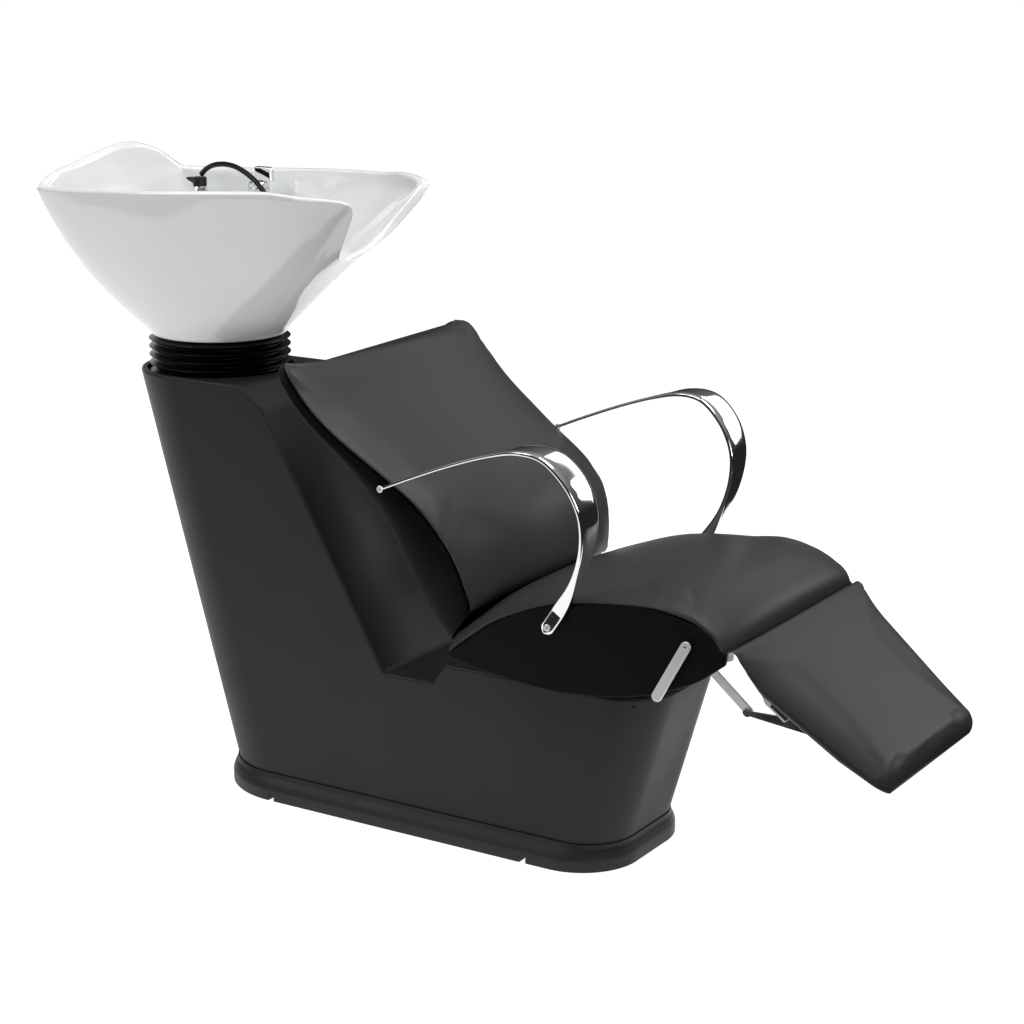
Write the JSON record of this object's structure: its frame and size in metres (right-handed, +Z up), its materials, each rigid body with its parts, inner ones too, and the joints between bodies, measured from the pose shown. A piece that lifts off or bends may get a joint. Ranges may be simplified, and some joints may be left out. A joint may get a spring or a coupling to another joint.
{
  "type": "shampoo backwash unit",
  "caption": "Salon backwash unit: tilting ceramic bowl on a clad base, joined to a reclined padded seat with chrome armrests and a hinged legrest.",
  "frame": {"origin": "middle of the floor plate's underside, on the floor", "axes": "+Z up, +X towards the client's feet, +Y to the client's left"},
  "size_m": [1.5456, 0.5448, 1.04],
  "materials": {
    "base_plastic": "satin charcoal moulded plastic",
    "plinth_plastic": "satin dark moulded plastic",
    "painted_steel": "grey powder coat",
    "zinc_steel": "zinc plated",
    "black_rubber": "glossy black rubber",
    "white_ceramic": "white gloss glaze",
    "chrome": "polished chrome",
    "black_plastic": "black moulded plastic",
    "black_vinyl": "black upholstery vinyl",
    "grey_vinyl": "dark grey upholstery vinyl",
    "plywood": "plain moulded plywood",
    "pipe_plastic": "plain pipe plastic"
  },
  "bodies": {
    "base": {"base_shell": "base_plastic", "plinth": "plinth_plastic", "floor_plate": "painted_steel", "tower_post_left": "painted_steel", "tower_post_right": "painted_steel", "seat_post": "painted_steel", "bowl_bracket": "painted_steel", "tilt_pin_left": "zinc_steel", "tilt_pin_right": "zinc_steel", "bellows_clamp_ring": "painted_steel", "bellows": "black_rubber", "waste_pipe": "pipe_plastic", "valve_hot": "chrome", "valve_cold": "chrome", "supply_hose_hot": "zinc_steel", "supply_hose_cold": "zinc_steel", "seat_side_left": "black_vinyl", "seat_side_right": "black_vinyl", "seat_board": "plywood", "seat_cushion": "grey_vinyl", "seat_rail_left": "painted_steel", "seat_rail_right": "painted_steel", "back_body": "black_vinyl", "back_cushion": "grey_vinyl", "back_upright_left": "painted_steel", "back_upright_right": "painted_steel", "armrest_left": "chrome", "armrest_right": "chrome", "arm_screw_lower_left": "chrome", "arm_screw_lower_right": "chrome", "arm_screw_upper_left": "chrome", "arm_screw_upper_right": "chrome", "hinge_leaf_seat": "zinc_steel", "hinge_pin": "zinc_steel", "link_guide_left": "zinc_steel", "link_guide_right": "zinc_steel"},
    "bowl_body": {"bowl": "white_ceramic", "tilt_carrier": "painted_steel", "waste_flange": "chrome", "waste_tail": "pipe_plastic", "mixer_body": "chrome", "spray_holder": "chrome", "hose_gland": "black_plastic", "spray_hose": "black_rubber"},
    "strainer": {"hair_strainer": "chrome"},
    "mixer_hub": {"mixer_cap": "chrome"},
    "mixer_handle": {"mixer_lever": "chrome"},
    "hand_spray": {"spray_head": "chrome", "spray_collar": "black_plastic"},
    "legrest": {"legrest_cushion": "grey_vinyl", "legrest_board": "plywood", "hinge_leaf_legrest": "zinc_steel", "link_bracket_left": "chrome", "link_bracket_right": "chrome"},
    "link_left": {"legrest_link_left": "chrome"},
    "link_right": {"legrest_link_right": "chrome"},
    "release": {"release_lever": "chrome", "release_shaft": "zinc_steel"}
  },
  "joints": [
    {"name": "bowl_tilt", "type": "hinge", "parent": "base", "child": "bowl_body", "pos_m": [-0.445, 0, 0.708], "axis": [0, 1, 0], "range_deg": [-8, 10], "deforming": ["bellows"]},
    {"name": "strainer_lift", "type": "slide", "parent": "bowl_body", "child": "strainer", "axis": [0, 0, 1], "range_m": [0, 0.08]},
    {"name": "mixer_swivel", "type": "hinge", "parent": "bowl_body", "child": "mixer_hub", "pos_m": [-0.474, 0.152, 0.97], "axis": [0, 0, 1], "range_deg": [-40, 40]},
    {"name": "mixer_lift", "type": "hinge", "parent": "mixer_hub", "child": "mixer_handle", "pos_m": [-0.48, 0.152, 0.9799], "axis": [0, -1, 0], "range_deg": [0, 22]},
    {"name": "spray_lift", "type": "slide", "parent": "bowl_body", "child": "hand_spray", "axis": [0, 0, 1], "range_m": [0, 0.1], "deforming": ["spray_hose"]},
    {"name": "legrest_hinge", "type": "hinge", "parent": "base", "child": "legrest", "pos_m": [0.629, 0, 0.412], "axis": [0, 1, 0], "range_deg": [-30, 34]},
    {"name": "link_left_pivot", "type": "hinge", "parent": "legrest", "child": "link_left", "pos_m": [0.61772, 0, 0.31142], "axis": [0, 1, 0], "range_deg": [-34, 30]},
    {"name": "link_right_pivot", "type": "hinge", "parent": "legrest", "child": "link_right", "pos_m": [0.61772, 0, 0.31142], "axis": [0, 1, 0], "range_deg": [-34, 30]},
    {"name": "release_lever_pull", "type": "hinge", "parent": "base", "child": "release", "pos_m": [0.561, -0.2, 0.423], "axis": [0, 1, 0], "range_deg": [0, 25], "stiffness_Nm_per_rad": 1.2, "springref_deg": -14.32}
  ],
  "couplings": [
    {"joint": "link_left_pivot", "follows": "legrest_hinge", "ratio": -1},
    {"joint": "link_right_pivot", "follows": "legrest_hinge", "ratio": -1}
  ]
}
